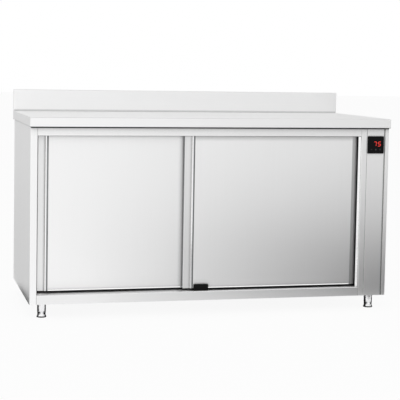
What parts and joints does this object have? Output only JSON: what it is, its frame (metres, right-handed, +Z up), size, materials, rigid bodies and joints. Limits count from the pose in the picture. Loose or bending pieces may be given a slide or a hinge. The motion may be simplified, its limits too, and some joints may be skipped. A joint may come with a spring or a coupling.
{
  "type": "plate warmer cabinet",
  "caption": "Heated stainless-steel plate cupboard with sliding doors under a worktop with a rear upstand, a control column and levelling feet.",
  "frame": {"origin": "on the floor under the middle of the worktop's outline", "axes": "+X to the right along the front, front faces -Y, +Z up"},
  "size_m": [1.6, 0.7, 0.95],
  "materials": {
    "steel": "brushed",
    "inner_steel": "satin",
    "polished_steel": "polished",
    "zinc_steel": "galvanised",
    "wool": "matte",
    "board": "raw",
    "black_plastic": "matte",
    "rubber": "matte",
    "nylon": "satin",
    "display": "gloss",
    "element": "oxidised",
    "aluminium": "mill"
  },
  "bodies": {
    "cabinet": {"worktop": "steel", "worktop_board": "board", "worktop_channels": "zinc_steel", "left_side_panel": "steel", "left_insulation": "wool", "inner_left_wall": "inner_steel", "left_post": "steel", "right_side_panel": "steel", "right_insulation": "wool", "right_post": "steel", "control_fascia": "steel", "duct_partition": "inner_steel", "top_rail": "steel", "bottom_rail": "steel", "door_track": "zinc_steel", "track_stops": "rubber", "centre_guide": "black_plastic", "base_panel": "steel", "base_insulation": "wool", "inner_floor": "inner_steel", "inner_ceiling": "inner_steel", "top_insulation": "wool", "back_panel": "steel", "back_insulation": "wool", "inner_back_wall": "inner_steel", "back_screws": "zinc_steel", "shelf_uprights": "inner_steel", "shelf_clips": "inner_steel", "air_duct": "zinc_steel", "heating_element": "element", "fan_motor": "zinc_steel", "temperature_probe": "polished_steel", "controller_body": "black_plastic", "display_glass": "display", "terminal_block": "nylon", "power_relay": "black_plastic", "cable_gland": "black_plastic", "foot_plates": "zinc_steel", "foot_tubes": "polished_steel"},
    "left_door": {"left_door_skin": "steel", "left_door_liner": "inner_steel", "left_door_core": "wool", "left_door_grip": "steel", "left_door_hangers": "zinc_steel"},
    "right_door": {"right_door_skin": "steel", "right_door_liner": "inner_steel", "right_door_core": "wool", "right_door_grip": "steel", "right_door_hangers": "zinc_steel"},
    "left_roller_a": {"left_roller_a": "nylon"},
    "left_roller_b": {"left_roller_b": "nylon"},
    "right_roller_a": {"right_roller_a": "nylon"},
    "right_roller_b": {"right_roller_b": "nylon"},
    "impeller": {"fan_impeller": "aluminium"},
    "shelf": {"shelf": "inner_steel"},
    "foot_fl": {"foot_adjuster_fl": "polished_steel"},
    "foot_fr": {"foot_adjuster_fr": "polished_steel"},
    "foot_rl": {"foot_adjuster_rl": "polished_steel"},
    "foot_rr": {"foot_adjuster_rr": "polished_steel"}
  },
  "joints": [
    {"name": "left_door_slide", "type": "slide", "parent": "cabinet", "child": "left_door", "axis": [1, 0, 0], "range_m": [0, 0.63]},
    {"name": "right_door_slide", "type": "slide", "parent": "cabinet", "child": "right_door", "axis": [1, 0, 0], "range_m": [-0.63, 0]},
    {"name": "left_roller_a_spin", "type": "hinge", "parent": "left_door", "child": "left_roller_a", "pos_m": [-0.699, -0.2795, 0.7946], "axis": [0, 1, 0], "continuous": true},
    {"name": "left_roller_b_spin", "type": "hinge", "parent": "left_door", "child": "left_roller_b", "pos_m": [-0.031, -0.2795, 0.7946], "axis": [0, 1, 0], "continuous": true},
    {"name": "right_roller_a_spin", "type": "hinge", "parent": "right_door", "child": "right_roller_a", "pos_m": [-0.069, -0.3075, 0.7946], "axis": [0, 1, 0], "continuous": true},
    {"name": "right_roller_b_spin", "type": "hinge", "parent": "right_door", "child": "right_roller_b", "pos_m": [0.599, -0.3075, 0.7946], "axis": [0, 1, 0], "continuous": true},
    {"name": "impeller_spin", "type": "hinge", "parent": "cabinet", "child": "impeller", "pos_m": [0.7, 0.08, 0.272], "axis": [1, 0, 0], "continuous": true},
    {"name": "shelf_lift", "type": "slide", "parent": "cabinet", "child": "shelf", "axis": [0, 0, 1], "range_m": [0, 0.1]},
    {"name": "foot_fl_level", "type": "slide", "parent": "cabinet", "child": "foot_fl", "axis": [0, 0, -1], "range_m": [0, 0.03]},
    {"name": "foot_fr_level", "type": "slide", "parent": "cabinet", "child": "foot_fr", "axis": [0, 0, -1], "range_m": [0, 0.03]},
    {"name": "foot_rl_level", "type": "slide", "parent": "cabinet", "child": "foot_rl", "axis": [0, 0, -1], "range_m": [0, 0.03]},
    {"name": "foot_rr_level", "type": "slide", "parent": "cabinet", "child": "foot_rr", "axis": [0, 0, -1], "range_m": [0, 0.03]}
  ],
  "couplings": [
    {"joint": "left_roller_a_spin", "follows": "left_door_slide", "rad_per_m": 125},
    {"joint": "left_roller_b_spin", "follows": "left_door_slide", "rad_per_m": 125},
    {"joint": "right_roller_a_spin", "follows": "right_door_slide", "rad_per_m": 125},
    {"joint": "right_roller_b_spin", "follows": "right_door_slide", "rad_per_m": 125}
  ]
}
